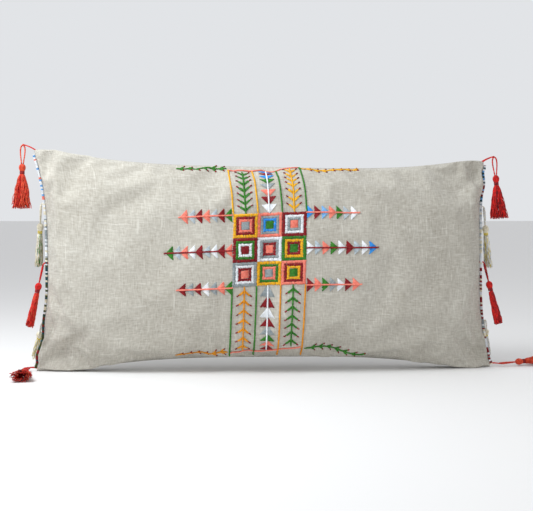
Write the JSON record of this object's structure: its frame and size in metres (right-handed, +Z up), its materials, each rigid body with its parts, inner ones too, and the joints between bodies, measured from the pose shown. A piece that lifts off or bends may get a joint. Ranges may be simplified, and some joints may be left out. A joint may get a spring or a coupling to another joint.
{
  "type": "throw pillow",
  "caption": "Rectangular linen lumbar pillow with a geometric embroidered panel, stitched side edging, hanging tassels and a zipped back.",
  "frame": {"origin": "under the middle of the whole piece's box, tassels included, on the floor that the bottom corners rest on", "axes": "+X along the pillow's width to the viewer's right, +Z up, and the embroidered front faces -Y"},
  "size_m": [0.7126, 0.1526, 0.29],
  "materials": {
    "natural_linen": "matte slubby plain weave",
    "insert_cotton": "matte plain weave",
    "polyester_fibre": "loose matte fibre",
    "zip_tape": "matte twill tape",
    "zip_coil": "satin nylon coil",
    "zip_metal": "satin nickel",
    "embroidery_thread": "satin cotton floss in several colours",
    "edging_thread": "satin cotton floss in several colours",
    "red_tassel_thread": "soft twisted yarn",
    "white_tassel_thread": "soft twisted yarn"
  },
  "bodies": {
    "pillow": {"front_panel": "natural_linen", "upper_back_panel": "natural_linen", "lower_back_panel": "natural_linen", "insert_front_casing": "insert_cotton", "insert_back_casing": "insert_cotton", "fibre_fill": "polyester_fibre", "upper_zip_tape": "zip_tape", "lower_zip_tape": "zip_tape", "upper_zip_coil": "zip_coil", "lower_zip_coil": "zip_coil", "zip_top_stop": "zip_metal", "zip_bottom_stop": "zip_metal", "embroidered_squares": "embroidery_thread", "embroidered_top_band": "embroidery_thread", "embroidered_bottom_band": "embroidery_thread", "embroidered_ray_left_top": "embroidery_thread", "embroidered_ray_left_middle": "embroidery_thread", "embroidered_ray_left_bottom": "embroidery_thread", "embroidered_ray_right_top": "embroidery_thread", "embroidered_ray_right_middle": "embroidery_thread", "embroidered_ray_right_bottom": "embroidery_thread", "embroidered_branch_left_top": "embroidery_thread", "embroidered_branch_left_bottom": "embroidery_thread", "embroidered_branch_right_top": "embroidery_thread", "embroidered_branch_right_bottom": "embroidery_thread", "left_side_edging": "edging_thread", "right_side_edging": "edging_thread"},
    "left_tassel_1": {"left_tassel_1_loop": "red_tassel_thread", "left_tassel_1_head": "red_tassel_thread", "left_tassel_1_skirt": "red_tassel_thread"},
    "left_tassel_2": {"left_tassel_2_loop": "white_tassel_thread", "left_tassel_2_head": "white_tassel_thread", "left_tassel_2_skirt": "white_tassel_thread"},
    "left_tassel_3": {"left_tassel_3_loop": "red_tassel_thread", "left_tassel_3_head": "red_tassel_thread", "left_tassel_3_skirt": "red_tassel_thread"},
    "left_tassel_4": {"left_tassel_4_loop": "white_tassel_thread", "left_tassel_4_head": "white_tassel_thread", "left_tassel_4_skirt": "white_tassel_thread"},
    "left_tassel_5": {"left_tassel_5_loop": "red_tassel_thread", "left_tassel_5_head": "red_tassel_thread", "left_tassel_5_skirt": "red_tassel_thread"},
    "right_tassel_1": {"right_tassel_1_loop": "red_tassel_thread", "right_tassel_1_head": "red_tassel_thread", "right_tassel_1_skirt": "red_tassel_thread"},
    "right_tassel_2": {"right_tassel_2_loop": "white_tassel_thread", "right_tassel_2_head": "white_tassel_thread", "right_tassel_2_skirt": "white_tassel_thread"},
    "right_tassel_3": {"right_tassel_3_loop": "red_tassel_thread", "right_tassel_3_head": "red_tassel_thread", "right_tassel_3_skirt": "red_tassel_thread"},
    "right_tassel_4": {"right_tassel_4_loop": "white_tassel_thread", "right_tassel_4_head": "white_tassel_thread", "right_tassel_4_skirt": "white_tassel_thread"},
    "right_tassel_5": {"right_tassel_5_loop": "red_tassel_thread", "right_tassel_5_head": "red_tassel_thread", "right_tassel_5_skirt": "red_tassel_thread"},
    "zip_slider": {"zip_slider": "zip_metal"},
    "zip_pull": {"zip_pull": "zip_metal"}
  },
  "joints": [
    {"name": "left_tassel_1_swing", "type": "hinge", "parent": "pillow", "child": "left_tassel_1", "pos_m": [-0.34445, 0.00753, 0.29], "axis": [0, 1, 0], "range_deg": [0, 165]},
    {"name": "left_tassel_2_swing", "type": "hinge", "parent": "pillow", "child": "left_tassel_2", "pos_m": [-0.32262, 0.00753, 0.214], "axis": [0, 1, 0], "range_deg": [0, 150]},
    {"name": "left_tassel_3_swing", "type": "hinge", "parent": "pillow", "child": "left_tassel_3", "pos_m": [-0.32045, 0.00753, 0.138], "axis": [0, 1, 0], "range_deg": [0, 130]},
    {"name": "left_tassel_4_swing", "type": "hinge", "parent": "pillow", "child": "left_tassel_4", "pos_m": [-0.32341, 0.00753, 0.062], "axis": [0, 1, 0], "range_deg": [0, 150]},
    {"name": "left_tassel_5_swing", "type": "hinge", "parent": "pillow", "child": "left_tassel_5", "pos_m": [-0.34155, 0.00753, 0.0045], "axis": [-0.9945, -0.1045, 0], "range_deg": [0, 45]},
    {"name": "right_tassel_1_swing", "type": "hinge", "parent": "pillow", "child": "right_tassel_1", "pos_m": [0.26335, 0.00753, 0.277], "axis": [0, -1, 0], "range_deg": [0, 165]},
    {"name": "right_tassel_2_swing", "type": "hinge", "parent": "pillow", "child": "right_tassel_2", "pos_m": [0.25053, 0.00753, 0.21075], "axis": [0, -1, 0], "range_deg": [0, 150]},
    {"name": "right_tassel_3_swing", "type": "hinge", "parent": "pillow", "child": "right_tassel_3", "pos_m": [0.25135, 0.00753, 0.138], "axis": [0, -1, 0], "range_deg": [0, 130]},
    {"name": "right_tassel_4_swing", "type": "hinge", "parent": "pillow", "child": "right_tassel_4", "pos_m": [0.25432, 0.00753, 0.062], "axis": [0, -1, 0], "range_deg": [0, 150]},
    {"name": "right_tassel_5_swing", "type": "hinge", "parent": "pillow", "child": "right_tassel_5", "pos_m": [0.27245, 0.00753, 0.0045], "axis": [0.2079, -0.9781, 0], "range_deg": [0, 60]},
    {"name": "zip_slide", "type": "hinge", "parent": "pillow", "child": "zip_slider", "pos_m": [-0.03455, -1.76861, 0.07], "axis": [0, 0, -1], "range_deg": [0, 11.82]},
    {"name": "zip_pull_flip", "type": "hinge", "parent": "zip_slider", "child": "zip_pull", "pos_m": [-0.22274, 0.04979, 0.07], "axis": [0, 0, 1], "range_deg": [0, 175]}
  ]
}
